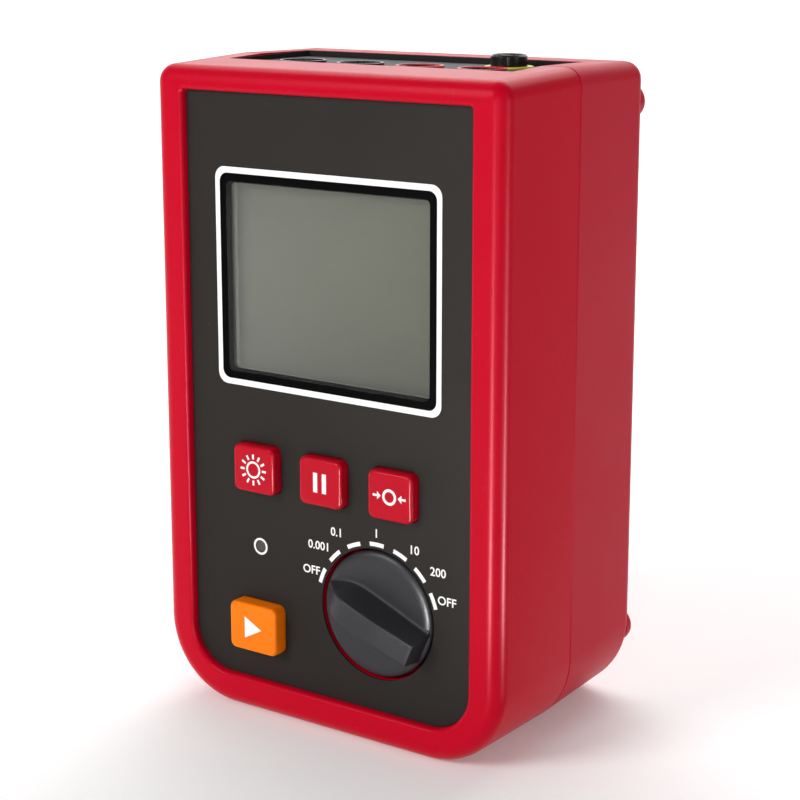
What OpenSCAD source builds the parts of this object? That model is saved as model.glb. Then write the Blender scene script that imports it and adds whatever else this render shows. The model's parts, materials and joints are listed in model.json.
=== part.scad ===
// Micro ohmmeter: a hand-held four-wire resistance meter in a two-part moulded case.
// Millimetres. X runs to the right, Y from the front face to the back, Z up.
// The origin lies under the middle of the whole outline, on the face that the meter stands on.

/* [Case] */
// Outside width of the case at the parting line
case_w = 110; // [107:1:118]
// Outside height of the case at the parting line
case_h = 174; // [172:1:186]
// Outside depth of the case, from the bezel to the back
case_d = 70; // [68:1:78]
// Depth of the front shell, from the bezel to the parting line
front_shell_d = 33.2; // [32.4:0.2:35]
// Wall of both shells
wall = 2.5; // [2.3:0.1:2.8]
// Radius of the two bottom corners
bottom_r = 22; // [18:1:24]
// Radius of the two top corners
top_r = 4.6; // [3:0.2:7]
// Rounding of the front edges
front_edge_r = 4; // [2:0.5:5]
// Rounding of the back edges
back_edge_r = 5; // [2:0.5:6]
// How much each side draws in from the parting line to the front
front_side_draft = 1.3; // [0.6:0.1:1.5]
// How much the top draws down from the parting line to the front
front_top_draft = 1.4; // [0.6:0.1:1.6]
// How much each side draws in from the parting line to the back
back_side_draft = 1; // [0.5:0.1:1.3]
// How much the top draws down from the parting line to the back
back_top_draft = 0.3; // [0.1:0.1:0.8]
// Chamfer on each shell at the parting line
seam_chamfer = 0.35; // [0.1:0.05:0.6]
// Height of the lip that locates the shells on each other
lip_h = 2; // [1.5:0.1:3]

/* [Recessed face] */
// Width of the bezel on each side of the recess
bezel_side = 10.5; // [10:0.5:11]
// Height of the bezel under the recess
bezel_bottom = 9.1; // [8.5:0.1:10]
// Height of the bezel over the recess
bezel_top = 7.6; // [7:0.1:9]
// Radius of the bottom corners of the recess
recess_r = 12; // [9:0.5:15]
// Radius of the top corners of the recess
recess_top_r = 0.8; // [0.5:0.1:3]
// Rounding of the inner edge of the bezel
bezel_edge_r = 1.2; // [0.5:0.1:1.8]
// Depth of the overlay under the bezel
recess_d = 2.1; // [1.8:0.1:2.6]
// Thickness of the printed overlay
overlay_t = 0.6; // [0.4:0.1:0.8]
// Thickness of the shell behind the overlay
floor_t = 2.5; // [2.2:0.1:2.8]

/* [Display] */
// Distance of the clear window from each side of the recess
window_side = 10.8; // [10:0.1:12.5]
// Space between the clear window and the row of keys
display_gap = 16.7; // [15:0.1:19]
// Corner radius of the clear window
window_r = 2.6; // [2:0.2:4]
// Thickness of the clear window
window_t = 1.6; // [1.2:0.1:2]
// Width of the black border inside the window
window_border = 2.05; // [1.5:0.05:2.5]
// Distance from the top of the recess to the window
display_drop = 20.85; // [18:0.05:22]
// How much wider the display glass is than the window, on each side
glass_lap = 1.3; // [1:0.1:1.6]
// How much taller the display glass is than the window, at each end
glass_end = 1.9; // [1.6:0.1:2.4]
// Thickness of the display glass
glass_t = 2.2; // [1.8:0.1:2.6]
// Thickness of the light guide behind the glass
guide_t = 3; // [2:0.1:3.4]
// Wall of the frame that holds the display
frame_wall = 1.4; // [1.2:0.1:1.6]

/* [Keys] */
// Width of each red key
key_w = 13.5; // [12:0.1:14.5]
// Height of each red key
key_h = 12.7; // [11:0.1:14]
// Distance between the red keys
key_pitch = 21.7; // [20:0.1:23]
// Height of the red keys above the bottom of the recess
key_rise = 59.2; // [57:0.1:60]
// How far the red keys stand out of the overlay
key_stand = 3; // [2.4:0.1:3.6]
// Width of the orange test key
test_w = 15.6; // [14:0.1:17]
// Height of the orange test key
test_h = 13.3; // [12:0.1:15]
// Height of the test key above the bottom of the recess
test_rise = 15.5; // [14:0.1:18]
// How far the test key stands out of the overlay
test_stand = 4.1; // [3.4:0.1:4.8]
// Distance of the test key and the lamp to the left of the middle
left_column = 22; // [20:0.1:23]
// Corner radius of the keys
key_r = 1.9; // [1.2:0.1:2.4]
// Rounding of the front edges of the keys
key_edge_r = 0.9; // [0.4:0.1:1.1]
// Gap round each key
key_clear = 0.25; // [0.15:0.05:0.4]
// Travel of each key
key_travel = 1; // [0.6:0.1:1.1]

/* [Indicator lamp] */
// Height of the lamp above the bottom of the recess
lamp_rise = 37.4; // [36:0.1:39]
// Radius of the light pipe
lamp_r = 1.5; // [1.2:0.1:1.8]

/* [Range knob] */
// Distance of the knob to the right of the middle
knob_x = 15.75; // [14:0.05:17]
// Height of the knob above the bottom of the recess
knob_rise = 26.2; // [25:0.1:27]
// Radius of the knob
knob_r = 16.7; // [15.5:0.1:17]
// Gap between the knob and its well
knob_clear = 0.8; // [0.5:0.1:0.9]
// Depth of the well that the knob turns in
well_d = 6.5; // [6:0.1:6.8]
// How far the disc's face stands over the overlay
knob_face = 0.3; // [0.2:0.1:1.2]
// How far the grip stands over the overlay
grip_stand = 8.8; // [7:0.1:10]
// Half the width of the grip's top
grip_half_w = 3.3; // [2.8:0.1:3.8]
// How much wider each side of the grip is at its foot
grip_flare = 1.2; // [0.6:0.1:1.6]
// Rounding of the grip's long edges
grip_edge_r = 0.5; // [0.2:0.1:0.8]
// Angle of the first position, from the right, counter-clockwise
first_angle = 157.5; // [150:0.5:165]
// Angle between two positions
step_angle = 22.5; // [20:0.5:24]
// Number of positions
positions = 7; // [5:1:7]
// Radius of the knob's shaft
shaft_r = 3; // [2.6:0.1:3.2]

/* [Top panel] */
// Distance from the front bezel to the opening in the top
top_open_front = 19; // [18:0.1:20]
// Depth of the opening in the top, from front to back
top_open_d = 34.8; // [33:0.1:36]
// Distance of the opening in the top from each side of the case
top_open_side = 11; // [10:0.1:12.5]
// Depth of the top panel under the top of the case
top_recess = 1.7; // [1.5:0.1:1.9]
// Thickness of the top panel
top_panel_t = 2.6; // [2.2:0.1:3]
// How far the top panel reaches under the shells
top_panel_lap = 2; // [1.5:0.1:2.5]

/* [Sockets] */
// Distance between the sockets
socket_pitch = 18.7; // [18:0.1:19]
// Distance from the front bezel to the row of sockets
socket_row = 30.7; // [30:0.1:31.5]
// Bore of the contact sleeve that takes the plug
plug_r = 2; // [1.6:0.1:2.1]
// Length of the contact sleeve's bore
plug_l = 18; // [16:0.5:19]
// Wall of the contact sleeve
sleeve_wall = 0.9; // [0.7:0.1:1]
// Radius of the shroud hole round the sleeve
shroud_r = 4.1; // [3.9:0.1:4.3]
// Wall of the socket's barrel
barrel_wall = 0.9; // [0.7:0.1:1.1]
// Width of the coloured ring round each socket
ring_w = 1.15; // [0.8:0.05:1.4]
// Height of the coloured rings
ring_h = 0.7; // [0.4:0.1:1]

/* [Fuse] */
// Distance from the front bezel to the fuse carrier
fuse_row = 43.6; // [43.2:0.1:44]
// Radius of the fuse
fuse_r = 2.6; // [2.4:0.1:2.7]
// Length of the fuse
fuse_l = 20; // [19:0.5:21]
// Radius of the carrier's cap
cap_r = 4.7; // [4.4:0.1:4.9]
// Height of the carrier's cap
cap_h = 2.9; // [2.5:0.1:3.5]

/* [Battery] */
// Radius of a cell
cell_r = 7.1; // [6.9:0.1:7.2]
// Length of a cell without its button
cell_l = 49; // [48:0.5:50]
// Room between the cells and each side of the case
cell_side = 10.6; // [10.4:0.1:14]
// Height of the battery bay's lower end above the bottom
bay_low = 30; // [28:0.5:31]
// Thickness of the battery door
door_t = 2.2; // [1.8:0.1:2.4]

/* [Feet and screws] */
// Distance of the feet from each side of the case
foot_inset = 6.8; // [6.4:0.1:8]
// Height of the lower feet above the bottom
foot_low = 19; // [18:0.5:20]
// Distance of the upper feet from the top of the case
foot_drop = 11; // [10.5:0.5:12]
// Radius of a foot
foot_r = 5; // [4.4:0.1:5]
// Height of a foot's dome
foot_h = 3; // [2:0.1:3.5]
// Radius of the case screws
screw_r = 1.5; // [1.25:0.05:1.6]

/* [Boards] */
// Thickness of each board
board_t = 1.6; // [1.2:0.1:1.8]
// Space between the shell's floor and the main board
board_gap = 8.8; // [8.8:0.1:9.4]
// Length of the spacers between the boards
spacer_l = 13.4; // [12.6:0.1:13.8]
// Distance of the main board from each side of the case
board_side = 11.2; // [11:0.1:12]
// Distance of the main board from the bottom
board_low = 14; // [13:0.5:15]
// Distance of the main board from the top of the case
board_drop = 14; // [13:0.5:15]
// Distance of the power board from the top of the case
power_drop = 34; // [33:0.5:35]

/* [Hidden] */
// How far a cut runs past the face that it opens
over = 0.5;
// Gap between pieces that seat against each other
seat = 0.05;
// Gap between loosely fitted pieces
fit = 0.1;
// Running clearance of a shaft in its bush, on the radius
running = 0.04;
// Smallest corner radius that is left where a rounding uses a corner up
least_r = 0.3;
// Steps of a large bottom corner, of a small corner and of an edge rounding
low_steps = 18;
high_steps = 6;
edge_steps = 6;
$fn = 48;

// Stations along Y, from the front to the back
front_y = (grip_stand - recess_d - case_d - foot_h) / 2;
overlay_y = front_y + recess_d;
floor_y = overlay_y + overlay_t;
inner_y = floor_y + floor_t;
board_y = inner_y + board_gap;
board_back_y = board_y + board_t;
power_y = board_back_y + spacer_l;
power_back_y = power_y + board_t;
split_y = front_y + front_shell_d;
back_y = front_y + case_d;

// The recess in the front
recess_half = case_w / 2 - bezel_side;
recess_high = case_h - bezel_top;

// Display stations
window_w = 2 * (recess_half - window_side);
window_h = recess_high - display_drop - bezel_bottom - key_rise - key_h / 2 - display_gap;
window_z = recess_high - display_drop - window_h / 2;
glass_w = window_w + 2 * glass_lap;
glass_h = window_h + 2 * glass_end;
collar_t = 0.9;
view_w = window_w - 2 * window_border;
view_h = window_h - 2 * window_border;
window_back_y = overlay_y + window_t;
glass_y = inner_y + frame_wall;
guide_y = glass_y + glass_t + fit;
frame_half_w = glass_w / 2 + fit + frame_wall;
frame_half_h = glass_h / 2 + fit + frame_wall;
strip_t = 2;
strip_share = 0.9;

// Keys: name order is light, hold, zero, test
key_z = bezel_bottom + key_rise;
test_z = bezel_bottom + test_rise;
flange_t = 1.2;
flange_lap = 1.3;
stem_l = 0.8;
stem_r = 2.2;
switch_side = 6.2;
plunger_r = 1.7;
switch_t = 5.5;
plunger_bore_d = 4.4;
flange_y = inner_y + seat;
stem_end_y = flange_y + flange_t + stem_l;
plunger_l = board_y - switch_t - stem_end_y + plunger_bore_d - key_travel - 2 * fit;

// Lamp
lamp_z = bezel_bottom + lamp_rise;
lamp_flange_t = 0.8;
pipe_l = 7.4;

// Knob and rotary switch
knob_z = bezel_bottom + knob_rise;
well_r = knob_r + knob_clear;
well_wall = 1.6;
well_floor_t = 1.8;
well_floor_y = overlay_y + well_d;
well_back_y = well_floor_y + well_floor_t;
knob_back = well_d - 0.5 * knob_clear;
knob_rim_r = 2.6;
knob_rim_drop = 1.3;
knob_skin = 1.6;
hub_r = 5.2;
bush_wall = 1.5;
shaft_in_grip = 5.4;
flat_depth = 0.6;
rotor_r = 14;
rotor_t = 2;
rotor_gap = 0.4;
rotor_y = well_back_y + rotor_gap;
wiper_t = 0.3;
wiper_w = 2.2;
wiper_gap = 0.1;
ball_r = 0.7;
ball_track_r = 11;
ball_proud = 0.1;
ball_pocket_d = 1.7;
dimple_d = 0.3;
spring_t = 0.2;
clip_t = 0.8;
clip_r = 4.8;
groove_d = 0.6;
clip_gap = 0.4;
// Sections along the grip: place, half width and height as shares of the knob's radius,
// the grip's half width and the grip's height
grip_shares = [
    [-0.94, 1, 0.80], [-0.75, 1, 0.84], [-0.5, 1, 0.90], [-0.25, 1, 0.96], [0, 1, 0.99],
    [0.2, 1, 1], [0.36, 0.98, 0.98], [0.5, 0.9, 0.89], [0.62, 0.75, 0.74], [0.73, 0.54, 0.55],
    [0.82, 0.34, 0.36], [0.89, 0.17, 0.2], [0.94, 0.05, 0.1]
];

// Top panel and sockets
panel_z = case_h - top_recess;
panel_low_z = panel_z - top_panel_t;
top_front_y = front_y + top_open_front;
top_back_y = top_front_y + top_open_d;
top_half = case_w / 2 - top_open_side;
ledge_t = 1.5;
socket_y = front_y + socket_row;
barrel_r = shroud_r + barrel_wall;
collar_r = barrel_r + 0.35 * ring_w;
collar_h = 0.4;
socket_l = 22;
sleeve_r = plug_r + sleeve_wall;
sleeve_top_z = panel_z - 1.8;
tail_r = 1.2;
socket_floor_t = 1.6;
input_board_z = panel_z - socket_l - 3.4;
input_half = 38;
input_front = 8.5;
input_back = 6.9;
nut_t = 2.6;
nut_side_r = 7.2;
socket_shares = [-1.5, -0.5, 0.5, 1.5];
black_shares = [-1.5, -0.5];
red_shares = [0.5, 1.5];

// Fuse
fuse_x = 1.5 * socket_pitch;
fuse_y = front_y + fuse_row;
fuse_wall = 0.9;
carrier_r = fuse_r + 0.7;
holder_bore_r = carrier_r + 2 * fit;
holder_r = holder_bore_r + fuse_wall;
holder_flange_h = 0.5;
holder_l = 28;
carrier_l = 8;
carrier_hole_d = 6;
cap_bar_w = 1.7;
cap_dish_d = 1.1;
cap_edge = 0.5;
fuse_top_z = panel_z + holder_flange_h - carrier_l + carrier_hole_d - fit;
fuse_low_z = fuse_top_z - fuse_l;
end_cap_l = 5;
end_cap_t = 0.25;
contact_t = 0.6;

// Battery bay
cell_gap = 0.4;
cells = floor((case_w - 2 * cell_side) / (2 * cell_r + cell_gap));
bay_half_w = cells * (cell_r + cell_gap / 2) + cell_gap;
button_l = 1.5;
button_r = 2.75;
contact_room = 3;
bay_h = cell_l + button_l + 2 * contact_room;
bay_high = bay_low + bay_h;
bay_wall = 1.8;
door_lap = 3;
door_top = 11;
door_seat_y = back_y - door_t - fit;
bay_depth = 2 * cell_r + 2 * cell_gap;
bay_floor_y = door_seat_y - bay_depth;
door_half_w = bay_half_w + bay_wall;
door_low = bay_low - door_lap;
door_high = bay_high + door_top;
door_r = 3;
door_gap = 0.3;
rim_t = 2;
door_screw_z = bay_high + door_top - 5;
door_screw_x = 0.6 * bay_half_w;
door_boss_r = 3.6;
door_boss_l = 8;

// Feet and case screws
foot_x = case_w / 2 - foot_inset;
foot_high = case_h - foot_drop;
foot_seat = 2;
foot_stem_l = 4;
screw_well_d = 20;
head_r = 2.9;
head_h = 2.4;
screw_grip = 11;
head_well_r = head_r + 2 * fit;
boss_r = head_well_r + 1.3;
post_r = screw_r + 2.2;
thread_gap = 0.03;

// Boards
board_half = case_w / 2 - board_side;
board_high = case_h - board_drop;
power_high = case_h - power_drop;
mount_inset_x = 3.1;
mount_inset_z = 6;
mount_x = board_half - mount_inset_x;
mount_low = board_low + mount_inset_z;
mount_high = power_high - mount_inset_z;
stud_r = 1.3;
stud_l = 6.4;
mount_post_r = 2.7;
spacer_side_r = 2.9;
board_screw_head_r = 2.4;
board_screw_head_h = 1.6;
board_screw_l = 5;

// Pieces on the boards
link_half = 7;
link_depth = 5;
link_drop = 8;
stack_half_w = 20;
stack_half_h = 2.5;
stack_rise = 46;
chip_half = 7;
chip_t = 1.6;
chip_step = 22;
capacitor_r = 5;
capacitor_l = 14;
capacitor_step = 11;
relay_w = 19;
relay_h = 15.5;
relay_t = 14;
relay_rise = 30;
shunt_w = 24;
shunt_t = 1.5;
shunt_h = 9;
shunt_leg = 6;
transistor_w = 10;
transistor_h = 15;
transistor_t = 4.5;
transistor_step = 14;
sink_w = 34;
sink_h = 26;
sink_base = 2.5;
sink_depth = 14;
fin_t = 1.2;
fins = 7;
buzzer_r = 6;
buzzer_t = 7;
plate_w = 11;
plate_t = 0.5;

// Points of an arc round a centre
function arc(cx, cz, r, from, to, steps) =
    [for (i = [0:steps]) let (a = from + (to - from) * i / steps) [cx + r * cos(a), cz + r * sin(a)]];

// Outline with one radius for the lower corners and one for the upper corners
function outline(half_w, low, high, low_r, high_r, n_low, n_high) = concat(
    arc(half_w - low_r, low + low_r, low_r, -90, 0, n_low),
    arc(half_w - high_r, high - high_r, high_r, 0, 90, n_high),
    arc(high_r - half_w, high - high_r, high_r, 90, 180, n_high),
    arc(low_r - half_w, low + low_r, low_r, 180, 270, n_low));

// Draw-in of the sides and of the top at a place along Y
function drawn(y, front_draft, back_draft) = y < split_y
    ? front_draft * (split_y - y) / front_shell_d
    : back_draft * (y - split_y) / (case_d - front_shell_d);

// The case's section at a place along Y, drawn in by an inset
function case_ring(y, inset) = [for (p = outline(
        case_w / 2 - drawn(y, front_side_draft, back_side_draft) - inset,
        inset,
        case_h - drawn(y, front_top_draft, back_top_draft) - inset,
        max(bottom_r - inset, least_r), max(top_r - inset, least_r),
        low_steps, high_steps)) [p[0], y, p[1]]];

// Stations of a rounded edge: distance from the end face and inset
function rounding(r) = [for (i = [0:edge_steps]) let (a = 90 * i / edge_steps)
    [r * (1 - cos(a)), r * (1 - sin(a))]];

// Solid through a list of rings that have the same number of points
module skin(rings) {
    n = len(rings[0]);
    m = len(rings);
    sides = [for (j = [0:m - 2]) for (i = [0:n - 1]) for (half = [0, 1])
        let (k = (i + 1) % n, a = j * n + i, b = j * n + k, c = b + n, d = a + n)
        half == 0 ? [a, b, c] : [a, c, d]];
    first = [[for (i = [n - 1:-1:0]) i]];
    last = [[for (i = [0:n - 1]) (m - 1) * n + i]];
    polyhedron(points = [for (r = rings) for (p = r) p], faces = concat(first, sides, last));
}

// Solid between two places along Y that follows the case at an inset
module case_block(from, to, inset) {
    skin([case_ring(from, inset), case_ring(split_y, inset), case_ring(to, inset)]);
}

// Children drawn in the plane of the front, with their Z towards the viewer
module facing_front(x, y, z) {
    translate([x, y, z]) rotate([90, 0, 0]) children();
}

// Rod along Y
module rod(x, z, from, to, r) {
    facing_front(x, to, z) cylinder(r = r, h = to - from);
}

// Block between two corners
module block(low, high) {
    translate(low) cube(high - low);
}

// Rounded plate in the plane of the front
module plate(x, z, half_w, half_h, r, from, to) {
    facing_front(x, to, z) linear_extrude(to - from)
        polygon(outline(half_w, -half_h, half_h, r, r, high_steps, high_steps));
}

module each_foot() {
    for (x = [-foot_x, foot_x]) for (z = [foot_low, foot_high]) translate([x, 0, z]) children();
}

module each_mount() {
    for (x = [-mount_x, mount_x]) for (z = [mount_low, mount_high]) translate([x, 0, z]) children();
}

module each_socket(shares) {
    for (s = shares) translate([s * socket_pitch, socket_y, 0]) children();
}

// The opening in the top and the rebate under it that holds the top panel
module top_cut() {
    block([-top_half, top_front_y, panel_low_z], [top_half, top_back_y, case_h + over]);
    block([-top_half - top_panel_lap - fit, top_front_y - top_panel_lap - fit, panel_low_z - fit],
        [top_half + top_panel_lap + fit, top_back_y + top_panel_lap + fit, panel_z]);
}

// Ledges along the sides that carry the top panel, between two places along Y
module top_ledges(from, to) {
    intersection() {
        for (side = [-1, 1]) scale([side, 1, 1])
            block([top_half, from, panel_low_z - fit - ledge_t], [case_w / 2, to, panel_low_z - fit]);
        case_block(front_y + wall, back_y - wall, wall / 2);
    }
}

module front_outside() {
    edge = [for (s = rounding(front_edge_r)) case_ring(front_y + s[0], s[1])];
    skin(concat(edge, [case_ring(split_y - seam_chamfer, 0), case_ring(split_y, seam_chamfer)]));
}

// The recess, with the rounded inner edge of the bezel
module recess_cut() {
    function ring(y, grow) = [for (p = outline(recess_half + grow, bezel_bottom - grow,
        recess_high + grow, recess_r + grow, recess_top_r + grow, low_steps, high_steps))
        [p[0], y, p[1]]];
    edge = [for (s = rounding(bezel_edge_r)) ring(front_y + s[0], s[1])];
    skin(concat([ring(front_y - over, bezel_edge_r)], edge, [ring(floor_y, 0)]));
}

// Hole that shows the display, grown by the collar round it
module display_hole(grow, from, to) {
    plate(0, window_z, view_w / 2 + grow, view_h / 2 + grow, window_r - window_border / 2 + grow,
        from, to);
}

module key_hole(x, z, w, h) {
    plate(x, z, w / 2 + key_clear, h / 2 + key_clear, key_r + key_clear, overlay_y - over,
        inner_y + over);
}

module key_holes() {
    for (i = [-1:1]) key_hole(i * key_pitch, key_z, key_w, key_h);
    key_hole(-left_column, test_z, test_w, test_h);
}

module front_shell() color("#c81a35") {
    difference() {
        union() {
            difference() {
                front_outside();
                case_block(inner_y, split_y + over, wall);
                // Groove for the rear shell's lip
                case_block(split_y - lip_h, split_y + over, wall / 2);
            }
            rod(knob_x, knob_z, floor_y, well_back_y, well_r + well_wall);
            each_mount() rod(0, 0, floor_y, board_y - seat, mount_post_r);
            each_foot() rod(0, 0, floor_y, split_y - seat, post_r);
            top_ledges(top_front_y - top_panel_lap, split_y - lip_h);
        }
        recess_cut();
        // Display opening and the seat of the window
        plate(0, window_z, window_w / 2 + fit, window_h / 2 + fit, window_r, floor_y - over,
            window_back_y + seat);
        display_hole(collar_t + fit, floor_y - over, inner_y + over);
        key_holes();
        rod(-left_column, lamp_z, floor_y - over, inner_y + over, lamp_r + fit);
        // Well of the knob, and the hole for the bush
        rod(knob_x, knob_z, floor_y - over, well_floor_y, well_r);
        rod(knob_x, knob_z, floor_y - over, well_back_y + over, shaft_r + running + bush_wall);
        for (i = [0:positions - 1])
            rod(knob_x + ball_track_r * cos(first_angle - i * step_angle),
                knob_z + ball_track_r * sin(first_angle - i * step_angle),
                well_back_y - dimple_d, well_back_y + over, ball_r - fit);
        each_mount() rod(0, 0, board_y - stud_l - fit, board_y + over, stud_r + thread_gap);
        each_foot() rod(0, 0, split_y - screw_grip - over, split_y + over, screw_r + thread_gap);
        top_cut();
    }
}

module rear_outside() {
    edge = [for (s = rounding(back_edge_r)) case_ring(back_y - s[0], s[1])];
    skin(concat([case_ring(split_y, seam_chamfer), case_ring(split_y + seam_chamfer, 0)],
        [for (i = [edge_steps:-1:0]) edge[i]]));
}

module door_outline(grow, from, to) {
    plate(0, (door_low + door_high) / 2, door_half_w + grow, (door_high - door_low) / 2 + grow,
        door_r + grow, from, to);
}

module rear_shell() color("#bd2238") {
    difference() {
        union() {
            difference() {
                union() {
                    rear_outside();
                    case_block(split_y - lip_h + fit, split_y + seam_chamfer, wall / 2 + fit);
                }
                case_block(split_y - lip_h - over, back_y - wall, wall);
            }
            // Rim that the battery door seats on, and the walls of the bay
            plate(0, (door_low + door_high) / 2, door_half_w + rim_t, (door_high - door_low) / 2 + rim_t,
                door_r + rim_t, door_seat_y - rim_t, back_y - wall / 2);
            block([-bay_half_w - bay_wall, bay_floor_y - bay_wall, bay_low - bay_wall],
                [bay_half_w + bay_wall, door_seat_y, bay_high + bay_wall]);
            for (x = [-door_screw_x, door_screw_x])
                rod(x, door_screw_z, door_seat_y - door_boss_l, door_seat_y, door_boss_r);
            each_foot() rod(0, 0, split_y + seat, back_y - wall / 2, boss_r);
            top_ledges(split_y + lip_h, top_back_y + top_panel_lap);
        }
        door_outline(door_gap, door_seat_y, back_y + over);
        block([-bay_half_w, bay_floor_y, bay_low], [bay_half_w, door_seat_y + over, bay_high]);
        for (x = [-door_screw_x, door_screw_x])
            rod(x, door_screw_z, door_seat_y - door_boss_l + bay_wall, back_y, screw_r + thread_gap);
        each_foot() {
            rod(0, 0, back_y - foot_seat, back_y + over, foot_r + fit);
            rod(0, 0, back_y - screw_well_d, back_y, head_well_r);
            rod(0, 0, split_y - over, back_y - screw_well_d + over, screw_r + fit);
        }
        top_cut();
    }
}

module front_overlay() color("#38362f") {
    difference() {
        facing_front(0, floor_y - seat, 0) linear_extrude(overlay_t - seat)
            polygon(outline(recess_half - fit, bezel_bottom + fit, recess_high - fit,
                recess_r - fit, recess_top_r, low_steps, high_steps));
        plate(0, window_z, window_w / 2 + fit, window_h / 2 + fit, window_r, overlay_y - over,
            floor_y + over);
        key_holes();
        rod(-left_column, lamp_z, overlay_y - over, floor_y + over, lamp_r + fit);
        rod(knob_x, knob_z, overlay_y - over, floor_y + over, well_r);
    }
}

module display_window() color("#90a0a0", 0.4) {
    plate(0, window_z, window_w / 2, window_h / 2, window_r - fit, overlay_y, window_back_y);
}

module display_frame() color("#101010") {
    difference() {
        union() {
            plate(0, window_z, frame_half_w, frame_half_h, frame_wall, inner_y + seat, board_y - seat);
            display_hole(collar_t, window_back_y + 2 * seat, inner_y + frame_wall);
        }
        display_hole(0, overlay_y, glass_y + over);
        plate(0, window_z, glass_w / 2 + fit, glass_h / 2 + fit, least_r, glass_y - seat,
            board_y + over);
    }
}

module display_glass() color("#78776b") {
    plate(0, window_z, glass_w / 2, glass_h / 2, least_r, glass_y, glass_y + glass_t);
}

module light_guide() color("#e6ece6") {
    plate(0, window_z, glass_w / 2, view_h / 2, least_r, guide_y, guide_y + guide_t);
}

module connector_strips() color("#d080a0") {
    for (side = [-1, 1])
        plate(0, window_z + side * (glass_h / 2 - strip_t / 2), strip_share * glass_w / 2, strip_t / 2,
            least_r, glass_y + glass_t + seat, board_y - seat);
}

// Key with rounded front edges, a flange that keeps it in the shell and a stem
module key_cap(x, z, w, h, stand) {
    function ring(out, inset) = [for (p = outline(w / 2 - inset, inset - h / 2, h / 2 - inset,
        max(key_r - inset, least_r), max(key_r - inset, least_r), high_steps, high_steps))
        [p[0], p[1], out]];
    facing_front(x, overlay_y, z) skin(concat(
        [for (s = rounding(key_edge_r)) ring(stand - s[0], s[1])],
        [ring(overlay_y - flange_y - over, 0)]));
    plate(x, z, w / 2 + flange_lap, h / 2 + flange_lap, key_r, flange_y, flange_y + flange_t);
    rod(x, z, flange_y, stem_end_y, stem_r);
}

module light_key() color("#d01a32") key_cap(-key_pitch, key_z, key_w, key_h, key_stand);

module hold_key() color("#d01a32") key_cap(0, key_z, key_w, key_h, key_stand);

module zero_key() color("#d01a32") key_cap(key_pitch, key_z, key_w, key_h, key_stand);

module test_key() color("#ff8c12") key_cap(-left_column, test_z, test_w, test_h, test_stand);

module plunger(x, z) {
    rod(x, z, stem_end_y + seat, stem_end_y + seat + plunger_l, plunger_r);
}

module light_plunger() color("#202020") plunger(-key_pitch, key_z);

module hold_plunger() color("#202020") plunger(0, key_z);

module zero_plunger() color("#202020") plunger(key_pitch, key_z);

module test_plunger() color("#202020") plunger(-left_column, test_z);

module switch_body(x, z) {
    difference() {
        plate(x, z, switch_side / 2, switch_side / 2, least_r, board_y - switch_t, board_y - seat);
        rod(x, z, board_y - switch_t - over, board_y - switch_t + plunger_bore_d, plunger_r + fit);
    }
}

module switch_bodies() color("#303030") {
    for (i = [-1:1]) switch_body(i * key_pitch, key_z);
    switch_body(-left_column, test_z);
}

module light_pipe() color("#b0b0a0", 0.6) {
    rod(-left_column, lamp_z, overlay_y + fit, overlay_y + pipe_l, lamp_r);
    rod(-left_column, lamp_z, inner_y + seat, inner_y + seat + lamp_flange_t, 1.5 * lamp_r);
}

module indicator_lamp() color("#d0d0c0") {
    rod(-left_column, lamp_z, overlay_y + pipe_l + fit, board_y - seat, lamp_r);
    rod(-left_column, lamp_z, board_y - lamp_flange_t, board_y - seat, 1.25 * lamp_r);
}

// One section across the grip, at a place along it
function grip_ring(share) = let (
        top = grip_stand * share[2], half = grip_half_w * share[1], e = min(grip_edge_r, half),
        foot = half + grip_flare * share[2], sink = knob_face + knob_rim_drop, x = knob_r * share[0])
    [[x, -foot, -sink], [x, -half, top - e], [x, e * (1 - cos(45)) - half, top - e * (1 - sin(45))],
        [x, e - half, top], [x, half - e, top],
        [x, half - e * (1 - cos(45)), top - e * (1 - sin(45))], [x, half, top - e],
        [x, foot, -sink]];

// Disc of the knob: a flat face with a rounded rim, hollow behind round its hub
module knob_disc() {
    rim = [for (i = [0:edge_steps]) let (a = 90 * i / edge_steps)
        [knob_r - knob_rim_r * (1 - sin(90 - a)), knob_face - knob_rim_drop * (1 - cos(90 - a))]];
    rotate_extrude($fn = 96) polygon(concat(
        [[0, -knob_back], [hub_r, -knob_back], [hub_r, -knob_skin - knob_rim_drop],
            [knob_r - knob_skin, -knob_skin - knob_rim_drop], [knob_r - knob_skin, -knob_back],
            [knob_r, -knob_back]],
        rim, [[0, knob_face]]));
}

// The part of a round shaft that a flat leaves, along the viewer's axis
module keyed_shaft(r, from, to, cut) {
    difference() {
        translate([0, 0, from]) cylinder(r = r, h = to - from);
        block([-r, r - cut, from - over], [r, r + over, to + over]);
    }
}

module range_knob() color("#3c3c42") {
    facing_front(knob_x, overlay_y, knob_z) difference() {
        union() {
            knob_disc();
            rotate([0, 0, first_angle]) skin([for (s = grip_shares) grip_ring(s)]);
        }
        keyed_shaft(shaft_r + seat, -knob_back - over, shaft_in_grip + seat, flat_depth);
    }
}

module knob_shaft() color("#b8b8bc") {
    end = board_back_y + clip_gap + 2 * clip_t;
    facing_front(knob_x, overlay_y, knob_z) difference() {
        keyed_shaft(shaft_r, overlay_y - end, shaft_in_grip, flat_depth);
        translate([0, 0, overlay_y - board_back_y - clip_gap - clip_t]) difference() {
            cylinder(r = shaft_r + over, h = clip_t);
            translate([0, 0, -over]) cylinder(r = shaft_r - groove_d, h = clip_t + 2 * over);
        }
    }
}

module shaft_bush() color("#c9a24a") {
    difference() {
        rod(knob_x, knob_z, well_floor_y + seat, well_back_y, shaft_r + running + bush_wall - seat);
        rod(knob_x, knob_z, well_floor_y - over, well_back_y + over, shaft_r + running);
    }
}

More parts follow.
